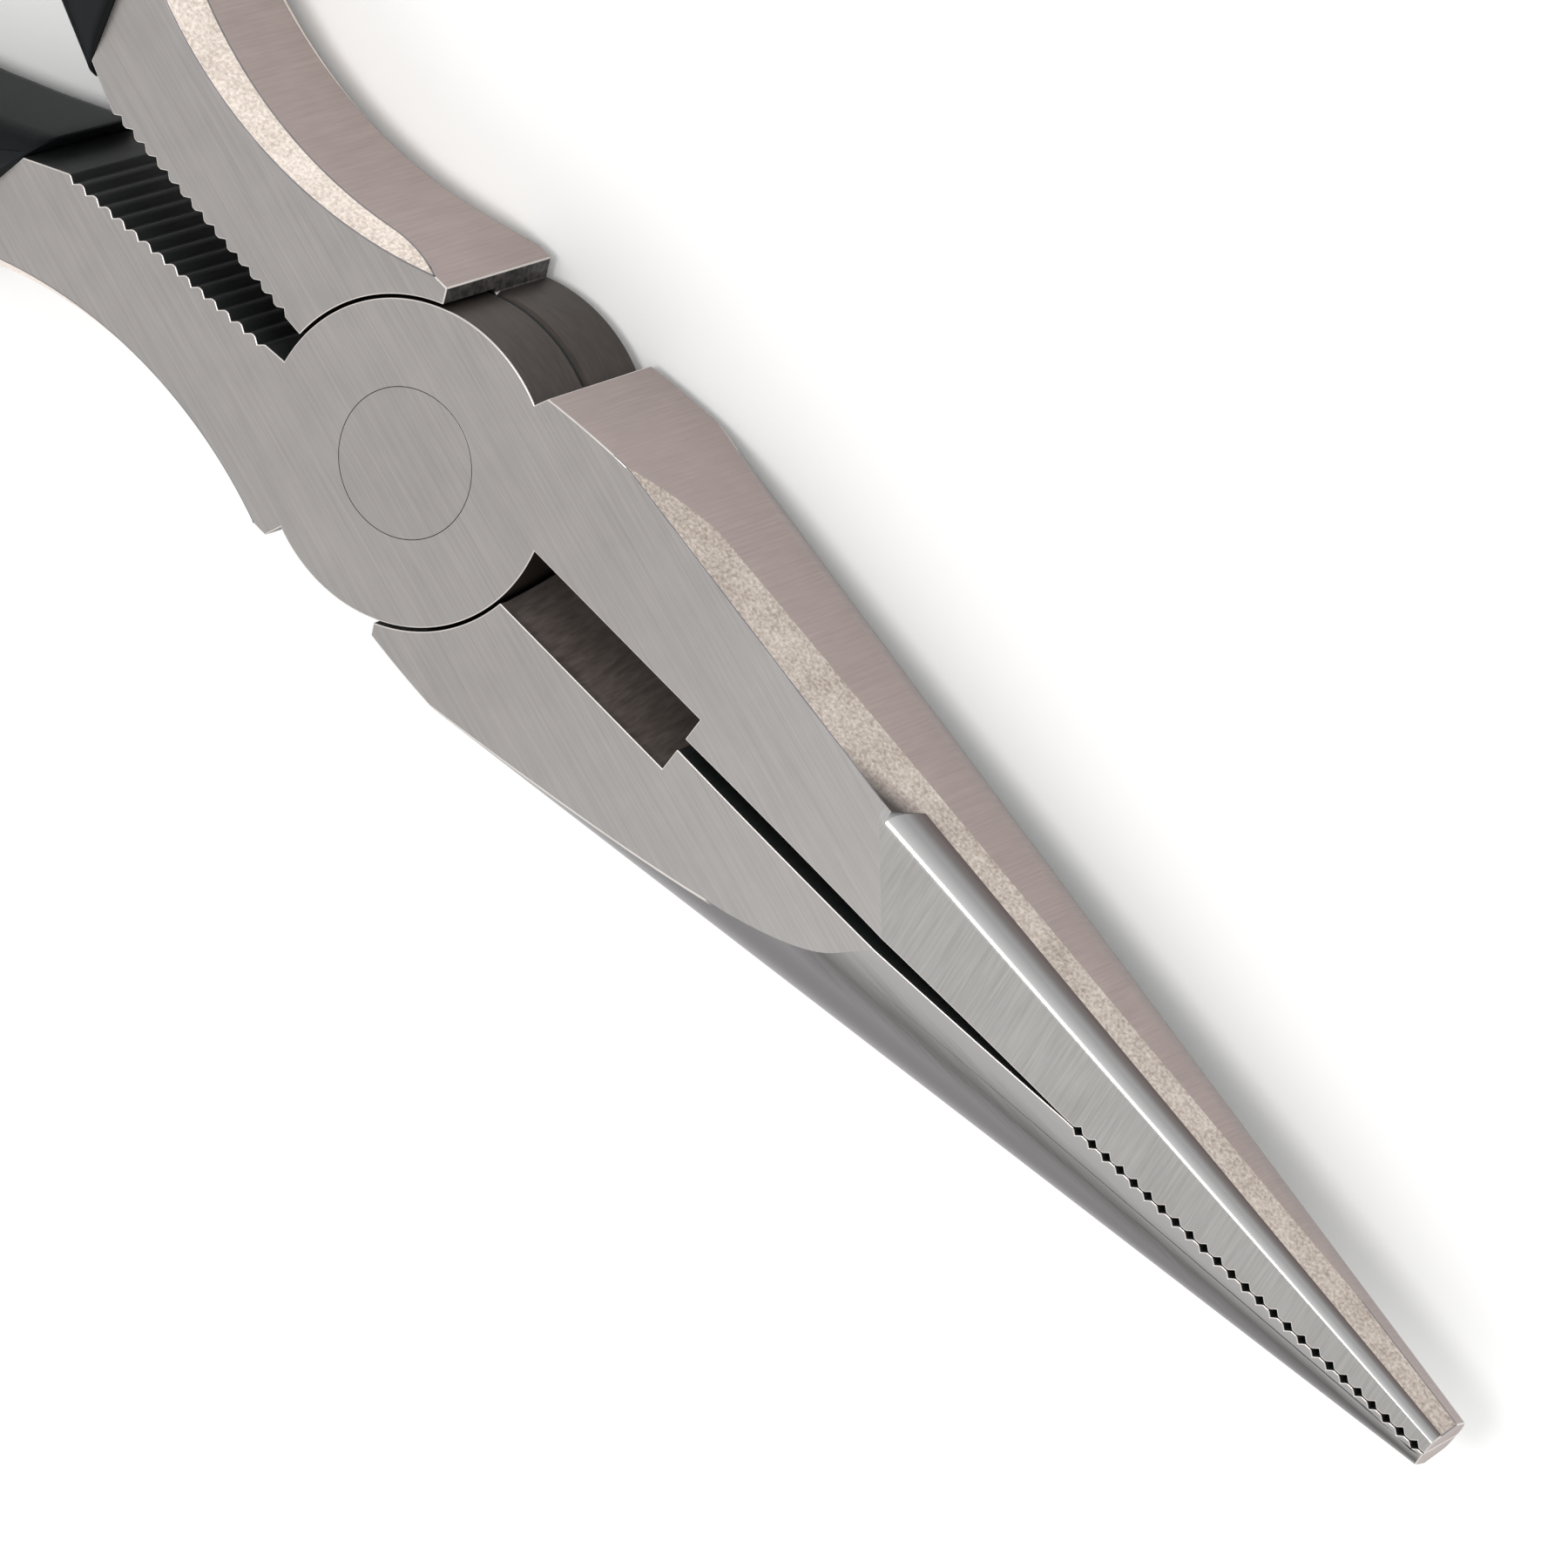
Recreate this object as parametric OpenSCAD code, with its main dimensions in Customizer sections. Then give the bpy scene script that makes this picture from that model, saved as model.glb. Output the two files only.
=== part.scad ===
// Needle nose pliers: two forged steel halves lapped on a flush rivet, with a
// side cutter behind the nose and a plastic sleeve on each handle.
// +X points to the nose tip, +Z is the face that shows the front half's boss.
// The origin is on the rivet's axis, at the joint's back face.

/* [Joint] */
// Thickness of the joint, the jaws' roots and the bare handles
joint_t = 11.6; // [10:0.1:14]
// Diameter of the two lapped bosses
boss_d = 19; // [15:0.5:19.5]
// Gap all round each boss where it turns in the other half
boss_gap = 0.2; // [0.1:0.05:0.4]
// Gap between the two lapped bosses
lap_gap = 0.06; // [0.02:0.02:0.2]
// Angle through which the jaws open
open_deg = 45; // [30:1:50]
// Angle left between the stops when fully open
stop_spare_deg = 3.5; // [1:0.5:6]
// Angle of each jaw's stop face, from the nose axis
jaw_stop_deg = 64.5; // [58:0.5:70]

/* [Rivet] */
// Diameter of the rivet's shank
rivet_d = 6; // [4:0.5:7]
// Diameter of the rivet's flush heads
rivet_head_d = 8.8; // [8:0.1:11]
// Depth of each countersunk head
rivet_head_h = 1.4; // [0.8:0.1:2]
// Radial play of the rivet in the half that turns on it
rivet_play = 0.04; // [0.02:0.01:0.08]

/* [Jaws] */
// Length from the rivet's axis to the nose tip
jaw_l = 80.6; // [66:0.2:97]
// Width across both jaws at the tip
tip_w = 3.5; // [2.5:0.1:5]
// Thickness of the nose at the tip
tip_t = 4.3; // [3:0.1:6]
// Width across the jaws' straight sides, carried back to the rivet's axis
side_root_w = 23.9; // [22:0.1:26]
// Width across the rounded flanks at their widest
flank_w = 20; // [18:0.1:23]
// Distance from the rivet's axis to the widest point of the flanks
flank_x = 12.5; // [10:0.5:15]
// Radius of the rounded flanks
flank_r = 59; // [45:1:80]
// Width across the forging at mid thickness, carried back to the rivet's axis
forging_root_w = 26.3; // [25:0.1:28]
// Draft angle of the forged flanks
draft_deg = 16; // [8:1:20]
// Distance from the rivet's axis to the start of the nose's taper
nose_x = 39.5; // [30:0.5:48]
// Sideways tilt of the nose's tapered faces
nose_tilt_deg = 4.3; // [0:0.1:6]

/* [Cutter] */
// Width of the cutter's slot across both jaws
slot_w = 3.9; // [3:0.1:5]
// Distance from the rivet's axis to the slot's far end
slot_end_x = 23; // [19:0.5:28]
// Height of the slot's upright walls, above the blades' bevels
slot_wall_h = 0.8; // [0.2:0.1:2]
// Thickness of each blade's edge
blade_land = 0.3; // [0.1:0.1:0.6]

/* [Gripping faces] */
// Gap between the closed jaws, at the teeth and the blades
closed_gap = 0.04; // [0.02:0.02:0.1]
// Widest opening of the relief between the slot and the teeth
relief_w = 0.9; // [0.4:0.1:1.2]
// Distance from the rivet's axis to the relief's widest point
relief_x = 31; // [28:0.5:36]
// Number of grooves in each jaw
tooth_n = 25; // [12:1:28]
// Distance from groove to groove
tooth_pitch = 1.058; // [0.9:0.002:1.2]
// Width of each groove
tooth_w = 0.62; // [0.3:0.02:0.8]
// Depth of each groove
tooth_h = 0.28; // [0.1:0.02:0.4]
// Distance from the last groove's middle to the tip
tooth_end = 0.75; // [0.5:0.05:2]

/* [Bare handles] */
// Distance from the rivet's axis to the grips' front edge
grip_start_x = 29.6; // [26:0.2:36]
// Distance between the handles' inner edges, beside the bosses
inner_gap = 1.9; // [1.5:0.1:3]
// Distance between the handles' inner edges, where the serrations end
inner_gap_end = 4.8; // [4:0.1:6]
// Distance from the rivet's axis to the end of the serrations
serration_end_x = 26.7; // [22:0.1:28]
// Number of grooves along each handle's inner edge
serration_n = 15; // [10:1:15]
// Distance from groove to groove along the inner edge
serration_pitch = 1.06; // [0.9:0.02:1.2]
// Width of each inner groove
serration_w = 0.8; // [0.4:0.05:1]
// Depth of each inner groove
serration_h = 0.32; // [0.1:0.02:0.5]
// Width across both handles at the waist
waist_w = 17.2; // [16:0.1:19]
// Distance from the rivet's axis to the waist
waist_x = 15.8; // [14:0.2:18]
// Radius of the waist's hollow
waist_r = 28.6; // [25:0.2:36]
// Radius of the round shoulder between the waist and the stop
shoulder_r = 22; // [16:1:30]
// Distance from the rivet's axis to the top of that shoulder
shoulder_x = 4.6; // [3:0.2:6]
// Depth of the bevel along the waist
waist_bevel = 0.9; // [0.3:0.1:1.4]
// Height of the upright band left between the waist's bevels
waist_band_h = 7; // [4:0.5:9]

/* [Tangs and grips] */
// Length from the rivet's axis to the ends of the grips
handle_l = 123; // [104:1:148]
// Width of each tang inside its grip
tang_w = 7.6; // [6:0.1:8]
// Thickness of each tang
tang_t = 11; // [9:0.1:13]
// Radius of the tang's rounded edges
tang_edge_r = 1.6; // [0.5:0.1:3]
// Distance from the centre plane to the tang's middle, at the grips' front edge
tang_y = 8.05; // [7.6:0.05:9]
// Angle at which the tangs leave the joint
flare_deg = 26; // [18:1:30]
// Radius of the first bend
bend_r = 110; // [90:1:130]
// Radius of the palm's bow
bow_r = 230; // [160:5:320]
// Wall of the plastic sleeves
grip_wall = 1.2; // [0.8:0.1:2]
// Radius of the grips' rounded edges
grip_edge_r = 3.2; // [1.5:0.1:4]
// Radius of the grips' round ends
grip_end_r = 5.6; // [5.2:0.1:7]
// Thickness of solid plastic past the end of each tang
grip_end_wall = 7; // [3:0.5:12]

/* [Hidden] */

half_t = joint_t / 2;
boss_r = boss_d / 2;
recess_r = boss_r + boss_gap;
handle_stop_deg = jaw_stop_deg + open_deg + stop_spare_deg;
far = 2 * (jaw_l + handle_l);
eps = 0.01;
arc_steps = 8;

side_slope = (side_root_w - tip_w) / 2 / jaw_l;
flank_end_x = flank_x + flank_r * sin(atan(side_slope));
forging_tip = tip_w / 2 + 0.1;
forging_slope = (forging_root_w / 2 - forging_tip) / jaw_l;
nose_slope = (half_t - tip_t / 2) / (jaw_l - nose_x);
teeth_x = jaw_l - tooth_end - (tooth_n - 1) * tooth_pitch;
relief_end_x = teeth_x - tooth_pitch / 2;

waist_c = [waist_x, waist_w / 2 + waist_r];
shoulder_rise = sqrt(pow(waist_r + shoulder_r, 2) - pow(waist_x - shoulder_x, 2));
shoulder_c = [shoulder_x, waist_c.y - shoulder_rise];
blend_deg = atan2(shoulder_rise, waist_x - shoulder_x);
inner_deg = atan2((inner_gap_end - inner_gap) / 2, serration_end_x - boss_r);
tang_half_y = tang_w / 2 / cos(flare_deg);

grip_w = tang_w + 2 * grip_wall;
grip_t = tang_t + 2 * grip_wall;
bend_c = [-grip_start_x - bend_r * sin(flare_deg), tang_y - bend_r * cos(flare_deg)];
bow_c = [bend_c.x, bend_c.y + bend_r - bow_r];
bow_deg = asin((handle_l - grip_end_r + bend_c.x) / bow_r);
end_c = bow_c + bow_r * [-sin(bow_deg), cos(bow_deg)];
tang_short_deg = (grip_end_wall - grip_end_r) / bow_r * 180 / PI;
lead_deg = 4;

function polar(r, a) = [r * cos(a), r * sin(a)];
function arc(c, r, a0, a1) =
    [for (i = [0 : arc_steps]) c + polar(r, a0 + (a1 - a0) * i / arc_steps)];
function back(points) = [for (p = points) [-p.x, -p.y]];
function relief_y(x) =
    relief_w / 2 * (1 - pow((x - relief_x) / (relief_end_x - relief_x), 2));

// A sector of the plane, from angle a0 to angle a1, that cuts the stop faces.
module sector(a0, a1) {
    polygon([[0, 0], polar(far, a0), polar(far, (a0 + a1) / 2), polar(far, a1)]);
}

// A triangular groove across the edge that runs along X through the origin.
module groove(w, h) {
    polygon([[-w / 2 - eps, -eps], [w / 2 + eps, -eps], [0, h]]);
}

// ---- Jaw ----

module jaw_outline() {
    difference() {
        intersection() {
            polygon([
                [0, closed_gap / 2],
                [jaw_l, closed_gap / 2],
                [jaw_l, tip_w / 2],
                [0, side_root_w / 2],
            ]);
            union() {
                translate([flank_x, flank_w / 2 - flank_r]) circle(flank_r, $fn = 240);
                translate([flank_end_x, 0]) square(jaw_l);
            }
            sector(-1, jaw_stop_deg);
        }
        jaw_relief();
        for (i = [0 : tooth_n - 1])
            translate([teeth_x + i * tooth_pitch, closed_gap / 2]) groove(tooth_w, tooth_h);
    }
}

// The shallow hollow that keeps the jaws apart between the slot and the teeth.
module jaw_relief() {
    steps = 8;
    start_x = slot_end_x - eps;
    polygon(concat(
        [for (i = [0 : steps])
            let (x = start_x + (relief_end_x - start_x) * i / steps) [x, relief_y(x)]],
        [[relief_end_x, -1], [start_x, -1]]
    ));
}

// Everything beyond the forging's drafted flank, on the side that s gives.
module flank_waste(s) {
    azimuth = atan(forging_slope);
    translate([0, forging_root_w / 2, 0])
        rotate([s * draft_deg, 0, -azimuth])
            translate([-far, 0, -far]) cube([2 * far, far, 2 * far]);
}

// Everything beyond the nose's tapered face, on the side that s gives.
module nose_waste(s) {
    mirror([0, 0, s < 0 ? 1 : 0])
        translate([nose_x, 0, half_t])
            rotate([-nose_tilt_deg, atan(nose_slope), 0])
                translate([-far, -far, 0]) cube([2 * far, 2 * far, far]);
}

// The pocket above one blade's bevel, on the side that s gives.
module blade_pocket(s) {
    mirror([0, 0, s < 0 ? 1 : 0])
        rotate([90, 0, 90])
            linear_extrude(slot_end_x)
                polygon([
                    [-1, blade_land / 2],
                    [closed_gap / 2, blade_land / 2],
                    [slot_w / 2, half_t - slot_wall_h],
                    [slot_w / 2, half_t + 1],
                    [-1, half_t + 1],
                ]);
}

module jaw() {
    difference() {
        linear_extrude(joint_t, center = true) jaw_outline();
        for (s = [-1, 1]) {
            flank_waste(s);
            nose_waste(s);
            blade_pocket(s);
        }
    }
}

// ---- Handle ----

// One handle's outline, drawn with its distances back and out as positive.
function handle_points() = concat(
    [[0, 0], [boss_r, inner_gap / 2], [serration_end_x, inner_gap_end / 2]],
    [[grip_start_x, tang_y - tang_half_y], [grip_start_x, tang_y + tang_half_y]],
    arc(shoulder_c, shoulder_r, blend_deg, 90),
    [[0, shoulder_c.y + shoulder_r]]
);

module handle_outline() {
    difference() {
        intersection() {
            polygon(back(handle_points()));
            sector(180, 360 - handle_stop_deg);
        }
        translate(-waist_c) circle(waist_r, $fn = 180);
        for (i = [0 : serration_n - 1])
            rotate(180)
                translate([boss_r, inner_gap / 2])
                    rotate(inner_deg)
                        translate([serration_end_x - boss_r - (i + 0.5) * serration_pitch, 0])
                            groove(serration_w, serration_h);
    }
}

// A rounded bar's section, centred on the path that it follows.
module bar_section(w, t, r) {
    square([w - 2 * r, t], center = true);
    square([w, t - 2 * r], center = true);
    for (x = [-1, 1], y = [-1, 1])
        translate([x * (w / 2 - r), y * (t / 2 - r)]) circle(r, $fn = 32);
}

// A bar along the handle's two bends, behind the grips' front edge.
module bent_bar(w, t, r, short_deg) {
    difference() {
        union() {
            translate(bend_c)
                rotate_extrude(angle = flare_deg + lead_deg, start = 90 - flare_deg - lead_deg, $fn = 180)
                    translate([bend_r, 0]) bar_section(w, t, r);
            translate(bow_c)
                rotate_extrude(angle = bow_deg - short_deg, start = 90, $fn = 360)
                    translate([bow_r, 0]) bar_section(w, t, r);
        }
        translate([-grip_start_x, -far / 2, -far / 2]) cube(far);
    }
}

module tang() {
    bent_bar(tang_w, tang_t, tang_edge_r, tang_short_deg);
}

module handle() {
    difference() {
        linear_extrude(joint_t, center = true) handle_outline();
        for (s = [0, 1])
            mirror([0, 0, s])
                translate([-waist_c.x, -waist_c.y, waist_band_h / 2])
                    cylinder(
                        h = half_t - waist_band_h / 2 + eps,
                        r1 = waist_r,
                        r2 = waist_r + waist_bevel,
                        $fn = 180
                    );
    }
    rotate([180, 0, 0]) tang();
}

// ---- One half, centred on the joint's mid plane ----

module rivet_hole(play) {
    flare = (rivet_head_d - rivet_d) / 2 / rivet_head_h;
    translate([0, 0, -half_t]) cylinder(h = joint_t, r = rivet_d / 2 + play, $fn = 64);
    translate([0, 0, half_t - rivet_head_h])
        cylinder(
            h = rivet_head_h + eps,
            r1 = rivet_d / 2 + play,
            r2 = rivet_head_d / 2 + play + eps * flare,
            $fn = 64
        );
}

module half(play) {
    difference() {
        union() {
            difference() {
                union() {
                    jaw();
                    handle();
                }
                translate([0, 0, lap_gap / 2 - joint_t]) cylinder(h = joint_t, r = recess_r, $fn = 128);
            }
            translate([0, 0, lap_gap / 2]) cylinder(h = half_t - lap_gap / 2, r = boss_r, $fn = 128);
        }
        rivet_hole(play);
    }
}

// ---- Pieces ----

module front_half() {
    color("darkgray") translate([0, 0, half_t]) half(0);
}

module rear_half() {
    color("silver") translate([0, 0, half_t]) rotate([180, 0, 0]) half(rivet_play);
}

module pivot_rivet() {
    color("gray") {
        cylinder(h = joint_t, r = rivet_d / 2, $fn = 64);
        cylinder(h = rivet_head_h, r1 = rivet_head_d / 2, r2 = rivet_d / 2, $fn = 64);
        translate([0, 0, joint_t - rivet_head_h])
            cylinder(h = rivet_head_h, r1 = rivet_d / 2, r2 = rivet_head_d / 2, $fn = 64);
    }
}

// A sleeve with a round end, on the handle that lies on the +Y side.
module grip() {
    difference() {
        union() {
            bent_bar(grip_w, grip_t, grip_edge_r, 0);
            translate(end_c)
                rotate_extrude($fn = 64)
                    intersection() {
                        bar_section(2 * grip_end_r, grip_t, grip_edge_r);
                        translate([0, -grip_t]) square(2 * grip_t);
                    }
        }
        tang();
    }
}

module front_grip() {
    color("dimgray") translate([0, 0, half_t]) rotate([180, 0, 0]) grip();
}

module rear_grip() {
    color("dimgray") translate([0, 0, half_t]) grip();
}

front_half();
rear_half();
pivot_rivet();
front_grip();
rear_grip();
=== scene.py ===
# %% [markdown]
# # Needle nose pliers
# The pliers are two forged steel halves that turn on one flush rivet, with a dipped vinyl
# sleeve on each handle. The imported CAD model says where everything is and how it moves. This
# lesson builds the surfaces that the eye sees: ground flats, a belt-polished nose, blasted
# forging skin, black oxide in the gaps and satin vinyl.

import math

import bmesh
import bpy
from mathutils import Matrix, Vector


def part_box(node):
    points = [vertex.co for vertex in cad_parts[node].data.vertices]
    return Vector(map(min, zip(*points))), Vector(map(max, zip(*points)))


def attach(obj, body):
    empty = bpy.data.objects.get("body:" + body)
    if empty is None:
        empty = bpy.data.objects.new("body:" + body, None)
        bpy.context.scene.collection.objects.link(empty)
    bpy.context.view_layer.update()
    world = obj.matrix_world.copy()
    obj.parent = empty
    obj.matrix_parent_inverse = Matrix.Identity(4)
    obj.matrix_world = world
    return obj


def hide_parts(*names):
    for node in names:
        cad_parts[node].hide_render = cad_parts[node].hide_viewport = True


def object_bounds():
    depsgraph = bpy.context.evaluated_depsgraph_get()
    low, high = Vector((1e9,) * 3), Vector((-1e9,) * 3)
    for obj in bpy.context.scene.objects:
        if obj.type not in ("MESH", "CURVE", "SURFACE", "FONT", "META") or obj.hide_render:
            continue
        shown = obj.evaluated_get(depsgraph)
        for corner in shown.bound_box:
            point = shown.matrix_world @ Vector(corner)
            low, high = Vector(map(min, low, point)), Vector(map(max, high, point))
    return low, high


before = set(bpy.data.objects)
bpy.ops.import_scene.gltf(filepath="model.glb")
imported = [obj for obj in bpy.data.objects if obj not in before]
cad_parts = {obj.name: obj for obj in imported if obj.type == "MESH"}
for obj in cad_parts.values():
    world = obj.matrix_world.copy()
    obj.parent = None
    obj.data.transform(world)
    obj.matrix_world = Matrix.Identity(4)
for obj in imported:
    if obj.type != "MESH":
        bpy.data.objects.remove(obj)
cad_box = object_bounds()

# %% [markdown]
# ## Sizes
# A bench drawing of pliers is in millimetres, and so is the modelling here: each piece is made
# at that scale and brought to metres by one last resize. The thickness, the reach of the jaws
# and the place where the sleeves start are read from the CAD nodes, so they can't drift apart.
# The rest are the smith's and the grinder's own sizes. Points are written for the front half,
# which has its jaw on the +Y side, its handle on the -Y side and its boss on top.

# %% Sizes
MM = 0.001
half_low, half_high = (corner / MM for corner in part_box("front_half"))
THICK = half_high.z - half_low.z
MID = THICK / 2
JAW_L = half_high.x
grip_low, grip_high = (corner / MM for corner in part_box("front_grip"))
GRIP_X = -grip_high.x
GRIP_T = grip_high.z - grip_low.z
BOSS_R = 9.5
RECESS_R = 9.7
LAP_GAP = 0.06
RIVET_R = 3.0
HEAD_R = 4.4
HEAD_H = 1.4
SEAM = 0.035
OVER = 1.0
print(f"joint {THICK:.1f} thick, jaw {JAW_L:.1f}, grips from {GRIP_X:.1f} and {GRIP_T:.1f} thick")

# %% [markdown]
# ## The camera, the table and the lights
# A studio shows bare steel with large soft lights, because a ground face has no colour of its
# own: it shows a blurred picture of whatever is above it. A long lens from above and one side
# keeps the nose's long taper straight. The view could be set by tracking an empty, but three
# fixed angles are simpler and never move.

# %% Camera
bpy.ops.object.select_all(action="DESELECT")
camera_right = Vector((0.6823, 0.5440, -0.4884))
camera_up = Vector((-0.6929, 0.6942, -0.1949))
camera_back = camera_right.cross(camera_up)
camera_turn = Matrix((camera_right, camera_up, camera_back)).transposed().to_euler()
bpy.ops.object.camera_add(location=Vector((165.9, 279.6, 510.8)) * MM, rotation=camera_turn)
camera = bpy.context.object
camera.name = "bench_camera"
camera.data.lens = 241.1
camera.data.sensor_width = 36
bpy.context.scene.camera = camera
print("camera turn in degrees:", [round(math.degrees(a), 3) for a in camera_turn])


# %% [markdown]
# ## Hands at the bench
# Almost all of the pliers is flat faces and true rounds, because forging dies, grinding belts
# and cutters made them. So the halves start as plain blocks. A bisect is a straight pass of
# the grinder, and a Boolean with a round or pointed bar is a pass of a milling cutter. Drawing
# the outline point by point would also work, but then every later change would mean new
# points, where a pass of a cutter is one number.

# %% Helpers for the blanks
def pick(obj):
    """Leaves this object alone selected and active."""
    bpy.ops.object.select_all(action="DESELECT")
    obj.select_set(True)
    bpy.context.view_layer.objects.active = obj


def edit_all(obj):
    """Opens an object in edit mode with everything selected."""
    pick(obj)
    bpy.ops.object.mode_set(mode="EDIT")
    bpy.ops.mesh.select_all(action="SELECT")


def done():
    bpy.ops.object.mode_set(mode="OBJECT")


def seat():
    """Puts the active object's place, turn and size into its mesh."""
    bpy.ops.object.transform_apply(location=True, rotation=True, scale=True)
    return bpy.context.object


def block(name, low, high):
    """A block between two corners, in millimetres."""
    bpy.ops.object.select_all(action="DESELECT")
    middle = [(a + b) / 2 for a, b in zip(low, high)]
    size = [b - a for a, b in zip(low, high)]
    bpy.ops.mesh.primitive_cube_add(size=1, location=middle, scale=size)
    bpy.context.object.name = name
    return seat()


def bar(name, radius, low, high, centre=(0, 0), sides=192, top_radius=None):
    """A round bar or a cone that stands along Z."""
    bpy.ops.object.select_all(action="DESELECT")
    bpy.ops.mesh.primitive_cone_add(
        vertices=sides, radius1=radius, radius2=radius if top_radius is None else top_radius,
        depth=high - low, location=(centre[0], centre[1], (low + high) / 2))
    bpy.context.object.name = name
    return seat()


def grind(obj, point, normal):
    """Takes away all that lies beyond a plane, and closes the face that this leaves."""
    edit_all(obj)
    out = Vector(normal).normalized()
    bpy.ops.mesh.bisect(plane_co=point, plane_no=out, use_fill=True, clear_outer=True, threshold=1e-5)
    done()


def score(obj, point, normal):
    """Scribes a line round an object, so that its two sides can be finished differently."""
    edit_all(obj)
    bpy.ops.mesh.bisect(plane_co=point, plane_no=Vector(normal).normalized(), threshold=1e-5)
    done()


def apply_all(obj):
    pick(obj)
    for modifier in list(obj.modifiers):
        bpy.ops.object.modifier_apply(modifier=modifier.name)


def machine(obj, tool, operation="DIFFERENCE"):
    """One Boolean pass, which uses the tool up."""
    pick(obj)
    bpy.ops.object.modifier_add(type="BOOLEAN")
    step = obj.modifiers[-1]
    step.operation = operation
    step.solver = "EXACT"
    step.object = tool
    apply_all(obj)
    bpy.data.objects.remove(tool)


def copy_of(obj, name):
    """A copy with its own mesh."""
    pick(obj)
    bpy.ops.object.duplicate()
    bpy.context.object.name = name
    return bpy.context.object


def weld(obj, gap):
    """Merges points closer than gap, then dissolves the edges that cross a flat face."""
    edit_all(obj)
    bpy.ops.mesh.remove_doubles(threshold=gap)
    bpy.ops.mesh.dissolve_limited(angle_limit=math.radians(0.05))
    done()


def report(obj):
    faces = len(obj.data.polygons)
    low = [round(min(v.co[i] for v in obj.data.vertices), 2) for i in range(3)]
    high = [round(max(v.co[i] for v in obj.data.vertices), 2) for i in range(3)]
    print(f"{obj.name}: {faces} faces, from {low} to {high}")


# %% [markdown]
# ## The jaw's blank
# A drop-forged jaw leaves its dies with drafted flanks, then a belt grinds its long side
# straight, its root into a round flank and its nose to a taper. Each of these is one straight
# pass, so the blank is a block and a list of planes. The round flank is passed in short
# strokes, each tangent to one circle, which is how a circle is ground by hand too.

# %% Grind the jaw's blank
CLOSED_GAP = 0.04
TIP_W = 3.5
SIDE_ROOT = 11.95
SIDE_SLOPE = (SIDE_ROOT - TIP_W / 2) / JAW_L
FLANK_X, FLANK_Y, FLANK_R = 12.5, 10.0, 59.0
FORGING = Vector((0.143, 1.0, 0.287))
FORGING_REACH = 13.15
NOSE_X = 39.5
NOSE = Vector((0.089, 0.075, 1.0))
STOP_DEG = 64.5

jaw = block("jaw", (0, CLOSED_GAP / 2, -OVER), (JAW_L, 14, THICK + OVER))
grind(jaw, (0, SIDE_ROOT, 0), (SIDE_SLOPE, 1, 0))
flank_end = math.degrees(math.atan(SIDE_SLOPE))
strokes = 12
for i in range(strokes):
    turn = math.radians(flank_end - (i + 0.5) * (flank_end + 10) / strokes)
    out = Vector((math.sin(turn), math.cos(turn), 0))
    grind(jaw, Vector((FLANK_X, FLANK_Y - FLANK_R, 0)) + out * FLANK_R, out)
stop = math.radians(STOP_DEG)
grind(jaw, (0, 0, 0), (-math.sin(stop), math.cos(stop), 0))
for s in (1, -1):
    grind(jaw, (0, FORGING_REACH, MID), (FORGING.x, FORGING.y, s * FORGING.z))
grind(jaw, (NOSE_X, 0, THICK), NOSE)
report(jaw)


# %% [markdown]
# ## The nose's rounds
# A polishing belt rolls the nose's long corners over. On one face it takes a narrow, tight
# round, and on the other a broad, lazy one. A Bevel modifier gives both sides of a corner the
# same width, but a belt that is held at an angle doesn't, so each round is ground in narrow
# strokes along a curve from one face to the other. The belt is laid on abruptly, so the tight
# round begins at a short step: a rounded nose is joined to a root that keeps its corner.

# %% Roll the nose's corners
def corner(x, s, nose):
    """The sharp corner of the nose at x, between its tapered face and its forged flank."""
    drop = nose.z * MID + nose.x * (NOSE_X - x)
    y = (FORGING_REACH - FORGING.x * x - FORGING.z * drop) / (1 - FORGING.z * nose.y)
    return Vector((x, y, MID + s * (drop - nose.y * y)))


def round_point(x, s, nose, inward, down, t):
    """A point of the curve that replaces the corner, from the face (t = 0) to the flank (t = 1)."""
    sharp = corner(x, s, nose)
    on_face = sharp + inward * Vector((0, -1, s * nose.y))
    on_flank = sharp + down * Vector((0, FORGING.z, -s))
    return (1 - t) ** 2 * on_face + 2 * t * (1 - t) * sharp + t * t * on_flank


def roll(obj, s, nose, x0, start, end, strokes):
    """Grinds the corner round in strokes. start and end are (inward, down) at x0 and at the tip."""
    for i in range(strokes):
        t0, t1 = i / strokes, (i + 1) / strokes
        a = round_point(x0, s, nose, *start, t0)
        b = round_point(x0, s, nose, *start, t1)
        c = round_point(JAW_L, s, nose, *end, (t0 + t1) / 2)
        normal = (b - a).cross(c - a)
        if normal.y < 0:
            normal.negate()
        grind(obj, a, normal)


RUN_OUT_X = 35.0
TIGHT_START, TIGHT_END = (0.9, 1.9), (0.3, 0.7)
nose = copy_of(jaw, "nose")
grind(nose, (RUN_OUT_X - 2, 0, 0), (-1, 0, 0))
roll(nose, 1, NOSE, RUN_OUT_X, TIGHT_START, TIGHT_END, 12)
grind(jaw, (RUN_OUT_X, 6.2, THICK), (1, 0.2, 0.6))
machine(jaw, nose, "UNION")
grind(jaw, (NOSE_X, 0, 0), (NOSE.x, NOSE.y, -NOSE.z))
roll(jaw, -1, NOSE, 37.0, (3.9, 1.9), (0.9, 0.6), 20)
report(jaw)

# %% [markdown]
# ## Teeth, relief and cutter
# The gripping faces meet only along the toothed nose and at the cutter. Between them the jaws
# are hollowed by a wheel of large radius. The teeth are V grooves, planed straight across, and
# the cutter is two bevels that rise to a narrow land. A square bar stood on its edge planes
# one groove, and an Array modifier repeats it down the nose.

# %% Plane the teeth and hollow the relief
TOOTH_N, TOOTH_PITCH, TOOTH_W, TOOTH_H, TOOTH_END = 25, 1.058, 0.62, 0.28, 0.75


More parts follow.
